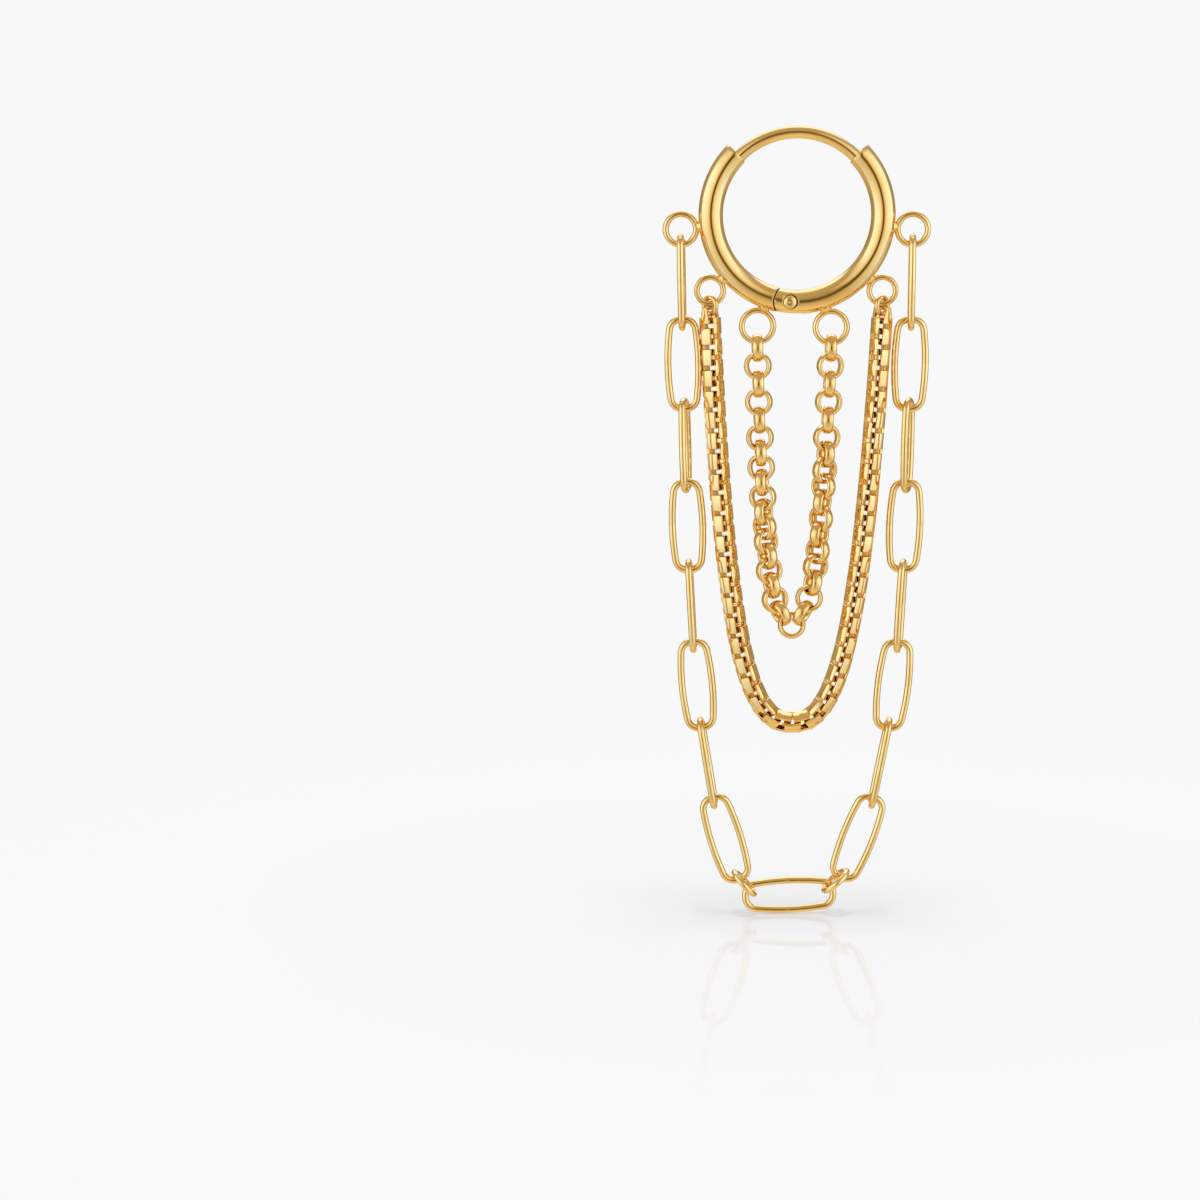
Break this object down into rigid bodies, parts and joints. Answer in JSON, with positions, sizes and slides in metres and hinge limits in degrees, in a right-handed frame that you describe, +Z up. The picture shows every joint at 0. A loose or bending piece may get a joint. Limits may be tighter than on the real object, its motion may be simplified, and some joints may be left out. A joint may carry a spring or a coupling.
{
  "type": "multi-chain hoop earring",
  "caption": "Small hinged tube hoop earring with a paperclip chain, a box chain and a belcher chain hung one inside the other from soldered rings.",
  "frame": {"origin": "middle of the ear wire at the top of the hoop, where the earring hangs in the ear lobe", "axes": "+Z up, along the hang of the chains; +X to the right as seen from the front; the front faces -Y and the hoop lies in the XZ plane"},
  "size_m": [0.0204, 0.0028, 0.0611],
  "materials": {
    "gold_plate": "polished yellow gold plate on brass"
  },
  "bodies": {
    "root": {"box_chain": "gold_plate", "box_ring_left": "gold_plate", "box_ring_right": "gold_plate", "hinge_pin": "gold_plate", "hoop_half_left": "gold_plate", "hoop_half_right": "gold_plate", "paperclip_bottom": "gold_plate", "paperclip_left_1": "gold_plate", "paperclip_left_2": "gold_plate", "paperclip_left_3": "gold_plate", "paperclip_left_4": "gold_plate", "paperclip_left_5": "gold_plate", "paperclip_left_6": "gold_plate", "paperclip_left_7": "gold_plate", "paperclip_left_8": "gold_plate", "paperclip_left_9": "gold_plate", "paperclip_right_1": "gold_plate", "paperclip_right_2": "gold_plate", "paperclip_right_3": "gold_plate", "paperclip_right_4": "gold_plate", "paperclip_right_5": "gold_plate", "paperclip_right_6": "gold_plate", "paperclip_right_7": "gold_plate", "paperclip_right_8": "gold_plate", "paperclip_right_9": "gold_plate", "rolo_bottom": "gold_plate", "rolo_left_a": "gold_plate", "rolo_left_b": "gold_plate", "rolo_left_c": "gold_plate", "rolo_left_d": "gold_plate", "rolo_right_a": "gold_plate", "rolo_right_b": "gold_plate", "rolo_right_c": "gold_plate", "rolo_right_d": "gold_plate"}
  },
  "joints": []
}
